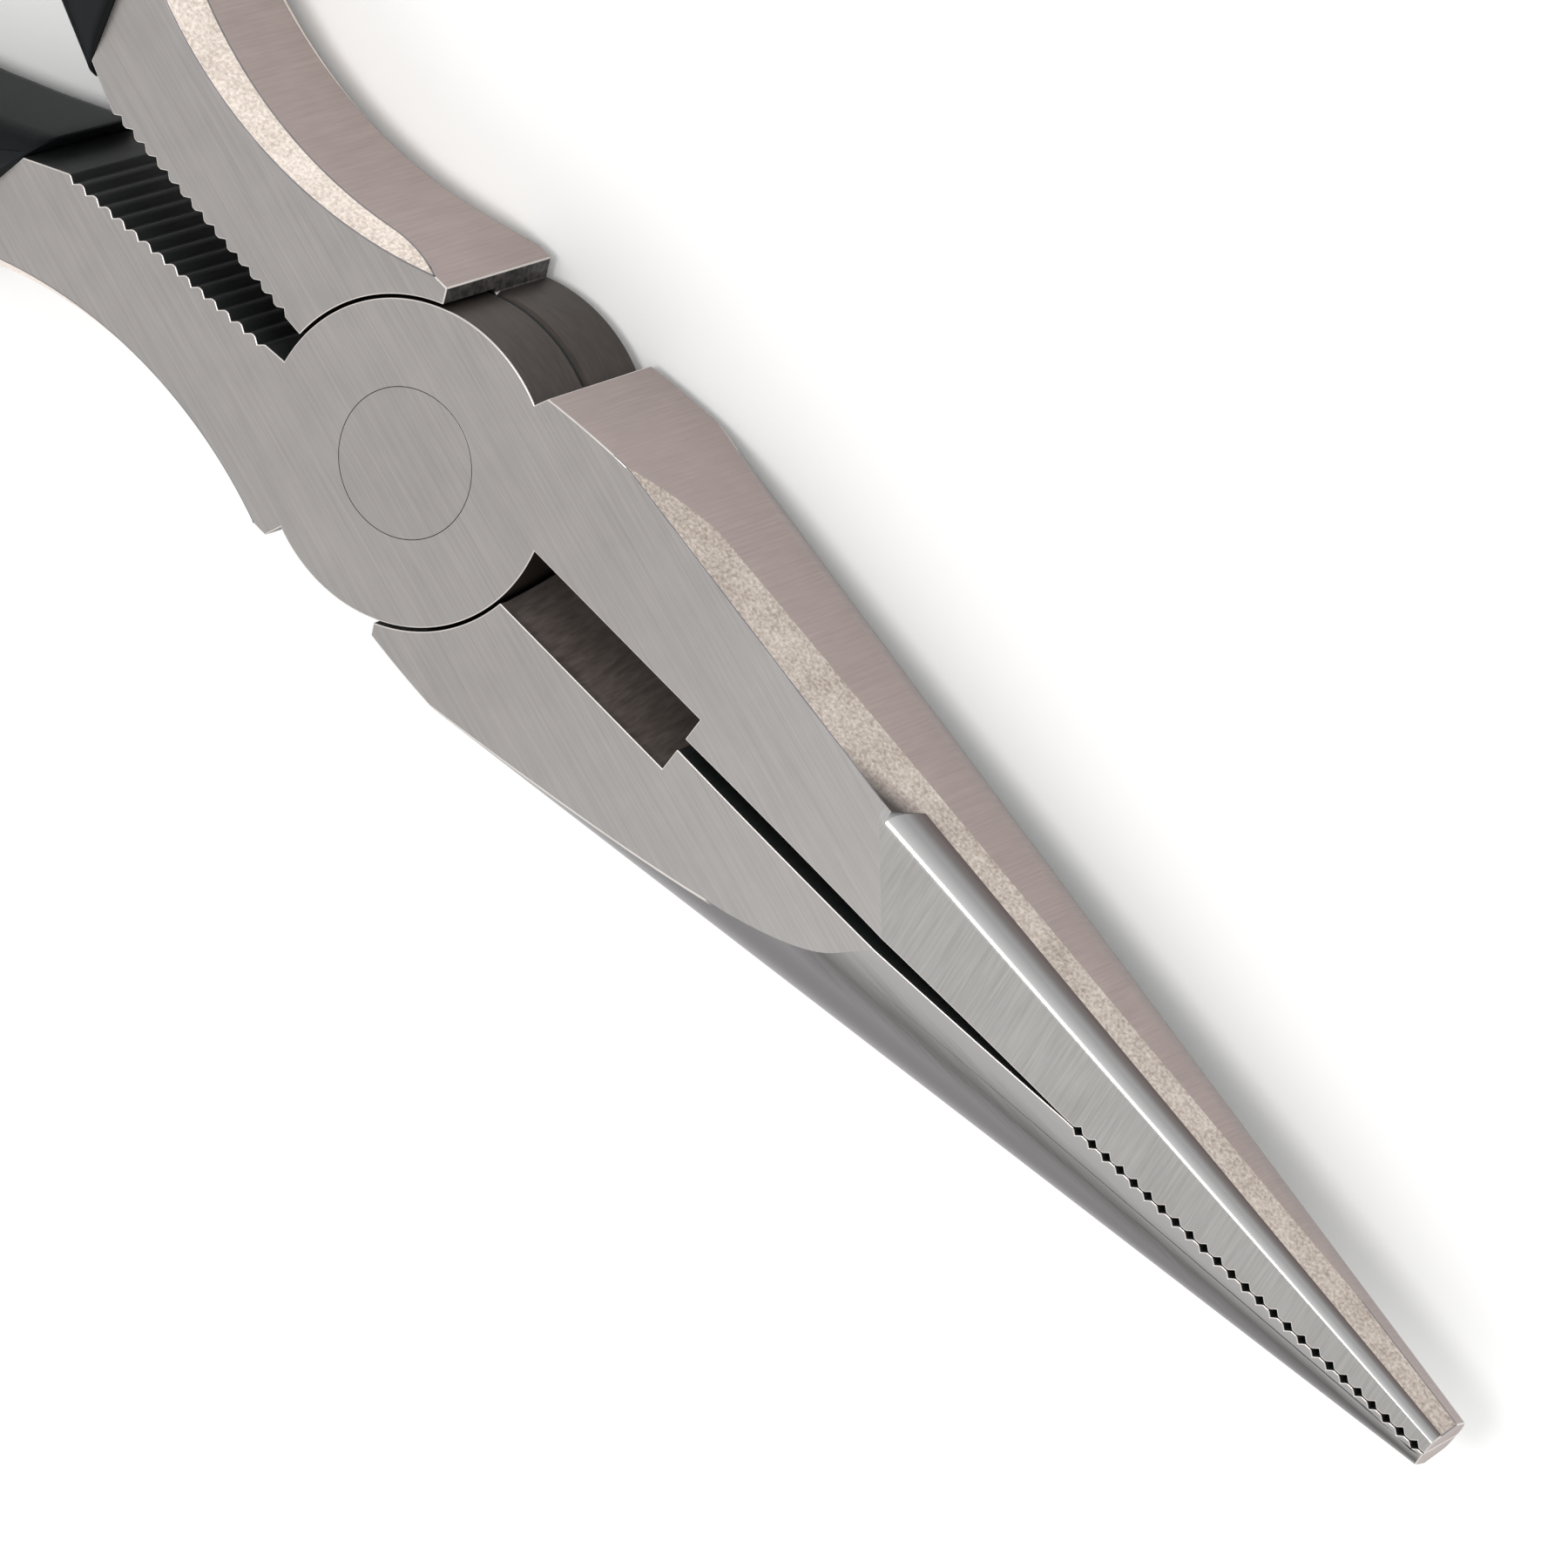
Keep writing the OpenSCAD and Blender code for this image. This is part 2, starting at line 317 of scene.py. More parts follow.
def grooves(name, count, pitch, width, depth):
    """A row of V cutters along X. The first stands at the origin, with its edges along Z."""
    bpy.ops.object.select_all(action="DESELECT")
    bpy.ops.mesh.primitive_cube_add(size=1, rotation=(0, 0, math.radians(45)))
    cutter = seat()
    cutter.name = name
    edit_all(cutter)
    diagonal = math.sqrt(0.5)
    bpy.ops.transform.resize(value=(width / 2 / diagonal, depth / diagonal, 2 * THICK))
    done()
    bpy.ops.object.modifier_add(type="ARRAY")
    row = cutter.modifiers[-1]
    row.count = count
    row.use_relative_offset = False
    row.use_constant_offset = True
    row.constant_offset_displace = (pitch, 0, 0)
    apply_all(cutter)
    return cutter


teeth_x = JAW_L - TOOTH_END - (TOOTH_N - 1) * TOOTH_PITCH
teeth = grooves("teeth", TOOTH_N, TOOTH_PITCH, TOOTH_W, TOOTH_H)
teeth.location = (teeth_x, CLOSED_GAP / 2, MID)
pick(teeth)
machine(jaw, seat())

SLOT_END, RELIEF_X, RELIEF_W = 23.0, 31.0, 0.9
relief_end = teeth_x - TOOTH_PITCH / 2
wheel_r = (relief_end - RELIEF_X) ** 2 / RELIEF_W
wheel_c = (RELIEF_X, RELIEF_W / 2 - wheel_r)
wheel = bar("relief_wheel", wheel_r, -2 * OVER, THICK + 2 * OVER, wheel_c, 1536)
grind(wheel, (SLOT_END - 0.01, 0, 0), (-1, 0, 0))
grind(wheel, (relief_end + 0.2, 0, 0), (1, 0, 0))
grind(wheel, (0, -1, 0), (0, -1, 0))
machine(jaw, wheel)

# %% Grind the cutter's bevels
SLOT_W, SLOT_WALL_H, BLADE_LAND = 3.9, 0.8, 0.3
for s in (1, -1):
    face = MID + s * MID
    low, high = sorted((MID + s * BLADE_LAND / 2, face + s * 2 * OVER))
    pocket = block("blade_pocket", (-OVER, -OVER, low), (SLOT_END, SLOT_W / 2, high))
    bevel_rise = MID - SLOT_WALL_H - BLADE_LAND / 2
    grind(pocket, (0, 0, MID + s * BLADE_LAND / 2), (0, bevel_rise, -s * SLOT_W / 2))
    machine(jaw, pocket)
report(jaw)

# %% [markdown]
# ## The handle's root
# Behind the joint the forging narrows to a waist, where the fingers sit, and swells to a round
# shoulder that ends in the stop. The inner edge is grooved to grip wire. The waist and its
# drafted edges come from one cutter with flared ends, as a shaped milling cutter would leave
# them. The drafted edges deepen towards the sleeves, so the flare leans back a little.

# %% Shape the handle's root
INNER_GAP, INNER_GAP_END, SERRATION_END = 1.9, 4.8, 26.7
WAIST_X, WAIST_Y, WAIST_R, WAIST_BAND = 15.8, 8.6, 28.6, 7.0
SHOULDER_X, SHOULDER_R = 4.6, 22.0
HANDLE_STOP_DEG = 113.0
TANG_W, TANG_T, TANG_Y, FLARE_DEG = 7.6, 11.0, 8.05, 26.0

MOUTH_LEAN = math.radians(14)
MOUTH_Y = TANG_Y - TANG_W / 2 / math.cos(math.radians(FLARE_DEG))
inner_slope = (INNER_GAP_END - INNER_GAP) / 2 / (SERRATION_END - BOSS_R)
tang_half = TANG_W / 2 / math.cos(math.radians(FLARE_DEG))
last_slope = (TANG_Y - tang_half - INNER_GAP_END / 2) / (GRIP_X - SERRATION_END)
waist_c = Vector((-WAIST_X, -WAIST_Y - WAIST_R))
rise = math.sqrt((WAIST_R + SHOULDER_R) ** 2 - (WAIST_X - SHOULDER_X) ** 2)
shoulder_c = Vector((-SHOULDER_X, waist_c.y + rise))

handle = block("handle", (-GRIP_X - 3, -13.5, -OVER), (0, 0, THICK + OVER))
grind(handle, (-GRIP_X, -MOUTH_Y, 0), (-math.cos(MOUTH_LEAN), math.sin(MOUTH_LEAN), 0))
grind(handle, (-BOSS_R, -INNER_GAP / 2, 0), (-inner_slope, 1, 0))
grind(handle, (-SERRATION_END, -INNER_GAP_END / 2, 0), (-last_slope, 1, 0))
stop = math.radians(HANDLE_STOP_DEG)
grind(handle, (0, 0, 0), (math.sin(stop), math.cos(stop), 0))
blend_x = shoulder_c.x + (waist_c.x - shoulder_c.x) * SHOULDER_R / (WAIST_R + SHOULDER_R)
shoulder_waste = block("shoulder_waste", (blend_x, -14, -2 * OVER), (OVER, -5, THICK + 2 * OVER))
machine(shoulder_waste, bar("shoulder", SHOULDER_R, -3 * OVER, THICK + 3 * OVER, shoulder_c, 240))
machine(handle, shoulder_waste)
machine(handle, bar("waist", WAIST_R, -2 * OVER, THICK + 2 * OVER, waist_c, 240))
weld(handle, 0.02)
report(handle)

# %% Flare the waist's edges
WAIST_LEAN = (-0.6, -0.3)
WAIST_BEVEL = 1.25
RUN_ON = 1.5
flare_h = MID - WAIST_BAND / 2
flare_slope = WAIST_BEVEL / flare_h
wide_r, slim_r = WAIST_R + flare_slope * (flare_h + 2 * OVER), WAIST_R - flare_slope * RUN_ON
flare_c = waist_c + Vector(WAIST_LEAN)
machine(handle, bar("flare_top", slim_r, THICK - flare_h - RUN_ON, THICK + 2 * OVER, flare_c, 240, wide_r))
machine(handle, bar("flare_low", wide_r, -2 * OVER, flare_h + RUN_ON, flare_c, 240, slim_r))

SERRATION_N, SERRATION_PITCH, SERRATION_W, SERRATION_H = 15, 1.06, 0.8, 0.32
ribs = grooves("ribs", SERRATION_N, SERRATION_PITCH, SERRATION_W, SERRATION_H)
ribs.rotation_euler.z = math.atan(inner_slope)
ribs.location = (-SERRATION_END + SERRATION_PITCH / 2, -INNER_GAP_END / 2 + 0.05, MID)
pick(ribs)
machine(handle, seat())
report(handle)

# %% [markdown]
# ## Tangs and sleeves
# Inside each sleeve the handle goes on as a plain round-edged bar, in two bends: one that
# brings it out of the joint's flare and a longer one that bows round the palm. Tang and sleeve
# follow the same path, so one function sweeps both: a rounded section is spun about the first
# bend's centre, then about the second's. A curve with a bevel object could sweep them too, but
# spinning keeps every cross-section square to the path and its edges straight.

# %% Sweep a bar along the handle's bends
BEND_R, BOW_R = 110.0, 230.0
flare = math.radians(FLARE_DEG)
bend_c = Vector((-GRIP_X - BEND_R * math.sin(flare), TANG_Y - BEND_R * math.cos(flare), MID))
bow_c = bend_c + Vector((0, BEND_R - BOW_R, 0))
END_X = -grip_low.x


def bow_angle(length):
    """How far round the bow a bar of this length reaches, in radians."""
    return math.asin((length + bend_c.x) / BOW_R)


def swept_bar(name, width, thick, edge_r, lead, length):
    """A bar with rounded edges, from lead radians before the sleeve's mouth to length."""
    bpy.ops.object.select_all(action="DESELECT")
    bpy.ops.mesh.primitive_plane_add(size=1, rotation=(0, math.radians(90), 0))
    sweep = seat()
    sweep.name = name
    edit_all(sweep)
    bpy.ops.transform.resize(value=(1, width, thick))
    bpy.ops.mesh.bevel(offset=edge_r, offset_type="OFFSET", segments=6, affect="VERTICES")
    bpy.ops.transform.translate(value=(bend_c.x, bend_c.y + BEND_R, MID))
    start = flare + lead
    bpy.ops.transform.rotate(value=start, orient_axis="Z", center_override=bend_c)
    bpy.ops.mesh.spin(steps=14, angle=-start, center=bend_c, axis=(0, 0, 1))
    bpy.ops.mesh.spin(steps=16, angle=-bow_angle(length), center=bow_c, axis=(0, 0, 1))
    done()
    return sweep



# %% Join jaw, boss, handle and tang
def turn_over(obj):
    """Turns a finished form over, about the nose's axis: a front half becomes a rear half."""
    edit_all(obj)
    bpy.ops.transform.rotate(value=math.pi, orient_axis="X", center_override=(0, 0, MID))
    done()


TANG_EASE, TANG_LAP = 0.4, 0.1
mouth_out = Vector((math.cos(MOUTH_LEAN), math.sin(MOUTH_LEAN), 0))
mouth_at = Vector((-GRIP_X, MOUTH_Y, 0))
tang = swept_bar("tang", TANG_W - TANG_EASE, TANG_T, 1.6, math.radians(2.6), END_X - 7)
grind(tang, mouth_at + TANG_LAP * mouth_out, mouth_out)
edit_all(tang)
bpy.ops.mesh.normals_make_consistent(inside=False)
done()
turn_over(tang)
lap_z = MID + LAP_GAP / 2
machine(handle, tang, "UNION")
half = bar("half", BOSS_R, -OVER, THICK + OVER, sides=240)
machine(half, jaw, "UNION")
machine(half, handle, "UNION")
machine(half, bar("recess", RECESS_R, -2 * OVER, lap_z, sides=240))
machine(half, bar("rivet_hole", RIVET_R + SEAM, -OVER, THICK + 2 * OVER, sides=96))
sink_r = HEAD_R + SEAM + (HEAD_R - RIVET_R) / HEAD_H * 2 * OVER
sink = bar("countersink", RIVET_R + SEAM, THICK - HEAD_H, THICK + 2 * OVER, sides=96, top_radius=sink_r)
machine(half, sink)
grind(half, (0, 0, THICK), (0, 0, 1))
grind(half, (0, 0, 0), (0, 0, -1))
weld(half, 0.004)
report(half)

# %% [markdown]
# ## Which surface had which finish
# A pair of pliers tells how it was made: flats and sides come off a grinding belt, the flanks
# keep the blasted skin of the forging, the nose is polished, and the joint, the slot and the
# inner edges stay dark with heat-treatment oxide. Painting these borders in a texture would
# blur them, so each face is given its finish by where it is and which way it looks. Then the
# sharp edges are broken, as a buffing wheel breaks them, and their bevels get a pale colour,
# a painted highlight along each edge.

# %% Sort the faces by finish
FINISHES = ["ground_face", "ground_side", "nose_brushed", "nose_rolled", "nose_polished", "forged",
            "stop_end", "joint_wall", "slot_oxide", "black_oxide", "broken_edge_highlight", "scale_edge", "waist_forged_painted_light"]


def finish_of(c, n):
    """The name of the finish on a face of the front half, from its middle and its normal."""
    level, radius = abs(n.z), math.hypot(c.x, c.y)
    if level > 0.9999:
        return "ground_face" if min(c.z, THICK - c.z) < 0.01 else "joint_wall"
    if radius < RECESS_R + 0.1 and (level < 0.001 and abs(n.xy.dot(c.xy)) > 0.99 * radius or radius < HEAD_R + 1):
        return "joint_wall"
    if c.x > 0:
        if n.y < -0.1 or n.x < -0.95:
            return "black_oxide" if c.x > SLOT_END + 0.01 else "slot_oxide"
        if n.x < -0.8:
            return "stop_end"
        if n.z > 0.975:
            return "nose_brushed"
        if level > 0.278:
            return "nose_polished" if n.z > 0 else "nose_rolled"
        return "forged" if n.z > 0.2 else "ground_side"
    if c.x < -GRIP_X - 3.1 or n.x < -0.95 or n.y > 0.3 and n.x < 0.8:
        return "black_oxide"
    if n.x > 0.8:
        return "stop_end"
    return "waist_forged_painted_light" if level > 0.1 else "ground_side"


half.data.materials.clear()
for name in FINISHES:
    half.data.materials.append(bpy.data.materials.new(name))
for face in half.data.polygons:
    face.material_index = FINISHES.index(finish_of(face.center, face.normal))
counts = [sum(f.material_index == i for f in half.data.polygons) for i in range(len(FINISHES))]
print(dict(zip(FINISHES, counts)))

# %% Break the sharp edges
EDGE_BREAK = 0.07
BREAK_FROM_DEG = 24.0
SMOOTH_BELOW_DEG = 13.0


def select_edges(obj, wanted):
    """Selects the edges for which wanted(edge) is true, in edge mode."""
    edit_all(obj)
    bpy.ops.mesh.select_mode(type="EDGE")
    bpy.ops.mesh.select_all(action="DESELECT")
    mesh = bmesh.from_edit_mesh(obj.data)
    for edge in mesh.edges:
        if wanted(edge):
            edge.select = True
    bmesh.update_edit_mesh(obj.data)


SOFT = {FINISHES.index(name) for name in ("nose_polished", "nose_brushed", "nose_rolled", "forged", "waist_forged_painted_light")}
BRIGHT = {FINISHES.index(name) for name in ("ground_face", "ground_side", "nose_brushed", "nose_rolled")}


def is_keen(edge):
    """True where a buffing wheel would round an edge over: not between two swept faces of the nose."""
    if {face.material_index for face in edge.link_faces} <= SOFT:
        return False
    if all(math.hypot(v.co.x, v.co.y) < HEAD_R + 1 for v in edge.verts):
        return False
    return edge.calc_face_angle() > math.radians(BREAK_FROM_DEG)


def is_border(edge):
    one, two = edge.link_faces
    angle = edge.calc_face_angle()
    return angle > math.radians(SMOOTH_BELOW_DEG) or (
        one.material_index != two.material_index and angle > math.radians(1))


LAP_BREAK = 0.4


def is_lap_edge(edge):
    """True for the boss's own edge at the lap, which shows as a bright line in the joint."""
    return all(abs(v.co.z - lap_z) < 0.01 and abs(math.hypot(v.co.x, v.co.y) - BOSS_R) < 0.02 for v in edge.verts)


select_edges(half, is_lap_edge)
bpy.ops.mesh.bevel(offset=LAP_BREAK, offset_type="OFFSET", segments=2, affect="EDGES",
                   clamp_overlap=False, material=FINISHES.index("broken_edge_highlight"))
mesh = bmesh.from_edit_mesh(half.data)
rim = [f for f in mesh.faces if f.material_index == FINISHES.index("broken_edge_highlight")]
# The lap bevel's flat-lying strips are painted black oxide: a painted shadow for the dark gap line in the joint,
# beside the painted highlight of its bright strips.
for face in rim:
    if abs(face.normal.z) > 0.7:
        face.material_index = FINISHES.index("black_oxide")
bmesh.update_edit_mesh(half.data)
done()
print("lap edge faces:", len(rim))
select_edges(half, is_border)
bpy.ops.mesh.mark_sharp()
done()
select_edges(half, is_keen)
bpy.ops.mesh.mark_sharp(clear=True)
# The bevels are real, but the pale colour they are given is a painted highlight along each edge.
bpy.ops.mesh.bevel(offset=EDGE_BREAK, offset_type="OFFSET", segments=2, affect="EDGES",
                   clamp_overlap=False, material=FINISHES.index("broken_edge_highlight"))
bpy.ops.mesh.select_mode(type="FACE")
mesh = bmesh.from_edit_mesh(half.data)
forged = {FINISHES.index("forged"), FINISHES.index("waist_forged_painted_light")}
edge_break = FINISHES.index("broken_edge_highlight")
strips = [f for f in mesh.faces if f.material_index == edge_break]
beside = {}
for face in strips:
    ring = {near for edge in face.edges for near in edge.link_faces}
    ring |= {near for f in ring if f.material_index == edge_break for edge in f.edges for near in edge.link_faces}
    beside[face] = {f.material_index for f in ring} - {edge_break}
for face, found in beside.items():
    if forged & found:
        face.material_index = FINISHES.index("scale_edge")
    elif not found & BRIGHT and found:
        face.material_index = min(found)
bmesh.update_edit_mesh(half.data)
bpy.ops.mesh.select_all(action="SELECT")
bpy.ops.mesh.normals_make_consistent(inside=False)
bpy.ops.mesh.faces_shade_smooth()
done()
bpy.ops.object.modifier_add(type="WEIGHTED_NORMAL")
half.modifiers[-1].keep_sharp = True
half.modifiers[-1].weight = 50
apply_all(half)
report(half)

# %% [markdown]
# ## Two halves from one
# Both halves come out of the same dies. The rear one is the front one turned over, so it is
# copied with its own mesh and turned half a turn about the nose's axis.

# %% Turn the second half over
def to_metres(obj):
    """Brings a finished piece from the bench's millimetres to the frame's metres."""
    edit_all(obj)
    bpy.ops.transform.resize(value=(MM, MM, MM), center_override=(0, 0, 0))
    done()


front = half
front.name = "front_half_forging"
rear = copy_of(front, "rear_half_forging")
turn_over(rear)
for piece in (front, rear):
    to_metres(piece)
    report(piece)

# %% [markdown]
# ## The rivet
# A countersunk rivet is peened at both ends and ground flush with the faces, so nothing shows
# but a hairline circle. Its cones hold the lap shut. A round bar is scribed where the cones
# begin, and the two ends are widened, which leaves exactly that shape.

# %% Turn the rivet
rivet = bar("flush_rivet", RIVET_R, 0, THICK, sides=96)
for z in (HEAD_H, THICK - HEAD_H):
    score(rivet, (0, 0, z), (0, 0, 1))
edit_all(rivet)
bpy.ops.mesh.select_mode(type="FACE")
bpy.ops.mesh.select_all(action="DESELECT")
mesh = bmesh.from_edit_mesh(rivet.data)
for face in mesh.faces:
    face.select = abs(face.normal.z) > 0.9
bmesh.update_edit_mesh(rivet.data)
bpy.ops.transform.resize(value=(HEAD_R / RIVET_R, HEAD_R / RIVET_R, 1))
bpy.ops.mesh.bevel(offset=0.02, offset_type="OFFSET", segments=2, affect="EDGES")
done()
to_metres(rivet)
pick(rivet)
bpy.ops.object.shade_smooth_by_angle(angle=math.radians(15))

# %% [markdown]
# ## The sleeves
# The sleeves are soft vinyl, moulded with a rounded end and a crisp mouth that stands proud of
# the steel. The same sweep as the tang's gives the body. Its far face is drawn out in short
# steps, each a little smaller, into a dome, and the tang's own shape is taken out of it.

# %% Mould the sleeves
GRIP_W, GRIP_EDGE_R, DOME_R, DOME_STEPS = 10.0, 3.2, 5.0, 6


def dome_end(sleeve, turn):
    """Draws the sleeve's far face out into a dome, with that face turned square to X meanwhile."""
    edit_all(sleeve)
    bpy.ops.transform.rotate(value=turn, orient_axis="Z", center_override=bow_c)
    bpy.ops.mesh.normals_make_consistent(inside=False)
    bpy.ops.mesh.select_mode(type="FACE")
    bpy.ops.mesh.select_all(action="DESELECT")
    mesh = bmesh.from_edit_mesh(sleeve.data)
    end = max(mesh.faces, key=lambda f: (len(f.verts) > 4 and abs(f.normal.x) > 0.99, -f.calc_center_median().x))
    end.select = True
    middle = end.calc_center_median()
    bmesh.update_edit_mesh(sleeve.data)
    half_t, last = GRIP_T / 2, 0.0
    for i in range(1, DOME_STEPS + 1):
        angle = math.radians(82) * i / DOME_STEPS
        step = DOME_R * (math.sin(angle) - math.sin(last))
        thin = half_t - DOME_R * (1 - math.cos(angle))
        scale = (1, math.cos(angle) / math.cos(last), thin / (half_t - DOME_R * (1 - math.cos(last))))
        bpy.ops.mesh.extrude_region_move(TRANSFORM_OT_translate={"value": (-step, 0, 0)})
        bpy.ops.transform.resize(value=scale, center_override=middle)
        last = angle
    bpy.ops.mesh.select_all(action="SELECT")
    bpy.ops.transform.rotate(value=-turn, orient_axis="Z", center_override=bow_c)
    bpy.ops.mesh.normals_make_consistent(inside=False)
    done()


sleeve_l = END_X - DOME_R
rear_grip = swept_bar("rear_sleeve", GRIP_W, GRIP_T, GRIP_EDGE_R, math.radians(3), sleeve_l)
dome_end(rear_grip, bow_angle(sleeve_l))
grind(rear_grip, mouth_at, mouth_out)
edit_all(rear_grip)
bpy.ops.mesh.normals_make_consistent(inside=False)
done()
select_edges(rear_grip, lambda e: all((v.co - mouth_at).dot(mouth_out) > -0.001 for v in e.verts))
bpy.ops.mesh.bevel(offset=0.35, offset_type="OFFSET", segments=3, affect="EDGES")
done()
core = swept_bar("core", TANG_W, TANG_T, 1.6, math.radians(2), END_X - 7)
machine(rear_grip, core)
report(rear_grip)
pick(rear_grip)
bpy.ops.object.shade_smooth_by_angle(angle=math.radians(35))
front_grip = copy_of(rear_grip, "front_sleeve")
turn_over(front_grip)
for piece in (front_grip, rear_grip):
    to_metres(piece)
    report(piece)

# %% [markdown]
# ## Nodes and colours
# Colours are written as the sRGB hex values that a paint program shows, and one function turns
# them to the linear values that a renderer needs. One more function adds a node. Every pattern
# reads Object coordinates, which are the frame's own metres here, through a Mapping node whose
# scale is the real size of one grain or one brush line.

# %% Helpers for materials
def rgb(code):
    """A linear colour from an sRGB hex value such as "#AAA6A3"."""
    parts = [int(code[i:i + 2], 16) / 255 for i in (1, 3, 5)]
    return [c / 12.92 if c <= 0.04045 else ((c + 0.055) / 1.055) ** 2.4 for c in parts] + [1.0]


def add(tree, kind, inputs=None, **settings):
    """Adds a node. An input is given a value, or the output that it is linked from."""
    made = tree.nodes.new("ShaderNode" + kind)
    for name, value in settings.items():
        setattr(made, name, value)
    for name, value in (inputs or {}).items():
        if isinstance(value, bpy.types.NodeSocket):
            tree.links.new(value, made.inputs[name])
        else:
            made.inputs[name].default_value = value
    return made


def fresh(name):
    """An empty material with its output, ready for nodes."""
    material = bpy.data.materials.get(name) or bpy.data.materials.new(name)
    material.use_nodes = True
    material.node_tree.nodes.clear()
    return material, material.node_tree


def metal(name, pale, dark, roughness, cell, turn_deg=(0, 0, 0), contrast=0.5, bump=0.15, metallic=1.0, painted_sheen=0.0):
    """Steel with marks of a given cell size in millimetres: long cells are brush lines, round ones grit."""
    material, tree = fresh(name)
    place = add(tree, "TexCoord").outputs["Object"]
    turn = [math.radians(a) for a in turn_deg]
    marks = add(tree, "Mapping", {"Vector": place, "Rotation": turn, "Scale": [c * MM for c in cell]},
                vector_type="TEXTURE")
    grain = add(tree, "TexNoise", {"Vector": marks.outputs[0], "Scale": 1.0, "Detail": 3.0, "Roughness": 0.6})
    cloud = add(tree, "TexNoise", {"Vector": place, "Scale": 0.35 / MM, "Detail": 2.0})
    both = add(tree, "Mix", {0: 0.25, 2: grain.outputs[0], 3: cloud.outputs[0]})
    spread = add(tree, "MapRange", {"Value": both.outputs[0], "From Min": 0.5 - contrast / 2,
                                    "From Max": 0.5 + contrast / 2})
    tone = add(tree, "Mix", {0: spread.outputs[0], 6: rgb(dark), 7: rgb(pale)}, data_type="RGBA")
    # This mixes the tone towards white along X from 12 to 40 mm: a painted highlight that makes the flats lighter
    # towards the nose.
    if painted_sheen:
        along = add(tree, "SeparateXYZ", {0: place}).outputs["X"]
        share = add(tree, "MapRange", {"Value": along, "From Min": 12 * MM, "From Max": 40 * MM, "To Max": painted_sheen})
        tone = add(tree, "Mix", {0: share.outputs[0], 6: tone.outputs[2], 7: rgb("#FFFFFF")}, data_type="RGBA")
    relief = add(tree, "Bump", {"Height": grain.outputs[0], "Strength": bump, "Distance": 0.02 * MM})
    steel = add(tree, "BsdfPrincipled", {"Base Color": tone.outputs[2], "Metallic": metallic,
                                         "Roughness": roughness, "Normal": relief.outputs[0]})
    add(tree, "OutputMaterial", {"Surface": steel.outputs[0]})
    return material


# %% [markdown]
# ## The steels
# One chrome-vanadium forging shows eight finishes. The flats are ground on a belt that runs
# nearly along the nose, the nose is ground across, and the sides across their thickness. The
# forged skin is blasted, which scatters light like frost and warms it. Heat treatment leaves
# blue-black oxide in the gaps and a brown one in the joint.

# %% Steels
# The ground flats carry a painted highlight that lightens them towards the nose.
metal("ground_face", "#96928F", "#83807E", 0.38, (7, 0.12, 1), (0, 0, -17), painted_sheen=0.07)
metal("ground_side", "#AC9E9A", "#998D8A", 0.42, (0.14, 1, 5))
metal("nose_brushed", "#9C9A98", "#858381", 0.34, (0.15, 4, 1), (0, 0, 7))
metal("forged", "#D4CAC2", "#9E9289", 0.55, (0.22, 0.22, 0.22), contrast=0.3, bump=0.8, metallic=0.85)
# The waist's forged skin is a lighter copy of the forged steel. It is painted light, to make up for its flanks
# facing the lights differently from the jaw's.
metal("waist_forged_painted_light", "#FAEFE6", "#CABDB3", 0.55, (0.22, 0.22, 0.22), contrast=0.3, bump=0.8, metallic=0.85)
metal("stop_end", "#55504E", "#1E1D1D", 0.45, (0.5, 0.5, 0.5), contrast=0.25, bump=1.0, metallic=0.7)
metal("joint_wall", "#473F3B", "#342E2C", 0.42, (1.5, 1.5, 0.3), metallic=0.8)
metal("slot_oxide", "#867D78", "#544B47", 0.42, (0.3, 1.5, 1.5), contrast=0.5, metallic=0.5)
metal("black_oxide", "#353737", "#282A2A", 0.55, (0.3, 0.3, 3), metallic=0.3)
metal("scale_edge", "#8E8A8B", "#6E6C70", 0.4, (2, 2, 2), bump=0.0)
# A pale colour for the broken edges: a painted highlight on their real bevels.
metal("broken_edge_highlight", "#D8D2CE", "#C6C0BC", 0.25, (2, 2, 2), bump=0.0)
metal("rivet_end", "#94908D", "#817E7C", 0.38, (7, 0.12, 1), (0, 0, -17))
rivet.data.materials.append(bpy.data.materials["rivet_end"])

# %% Painted shade where the polishing wheel runs out
material = bpy.data.materials["forged"]
tree = material.node_tree
place = add(tree, "TexCoord").outputs["Object"]
axes = add(tree, "SeparateXYZ", {0: place}).outputs
height = add(tree, "Math", {0: axes["Z"], 1: -MID * MM}, operation="ADD").outputs[0]
height = add(tree, "Math", {0: height}, operation="ABSOLUTE").outputs[0]
level = add(tree, "CombineXYZ", {"X": axes["X"], "Z": height}).outputs[0]
over = add(tree, "VectorMath", {0: level, 1: (0.34, 0, 0.94)}, operation="DOT_PRODUCT").outputs["Value"]
EDGE_AT = 0.34 * 31.0 + 0.94 * MID
over = add(tree, "MapRange", {"Value": over, "From Min": (EDGE_AT - 0.5) * MM, "From Max": (EDGE_AT + 0.9) * MM})
stop = add(tree, "MapRange", {"Value": axes["X"], "From Min": 36.3 * MM, "From Max": 38.5 * MM,
                              "To Min": 1.0, "To Max": 0.0})
share = add(tree, "Math", {0: over.outputs[0], 1: stop.outputs[0]}, operation="MULTIPLY").outputs[0]
steel = next(node for node in tree.nodes if node.type == "BSDF_PRINCIPLED")
unshaded_tone = steel.inputs["Base Color"].links[0].from_socket
# A painted shade: the forged skin is darkened to #4E4846 in a soft band where the polished round runs out, up to x
# 38.5 mm. It stands in for the shade of the turning surface.
runout_shade = add(tree, "Mix", {0: share, 6: unshaded_tone, 7: rgb("#4E4846")}, data_type="RGBA")
tree.links.new(runout_shade.outputs[2], steel.inputs["Base Color"])
print("painted_shade_on the forged skin of", sum(m == material for m in front.data.materials), "finish")
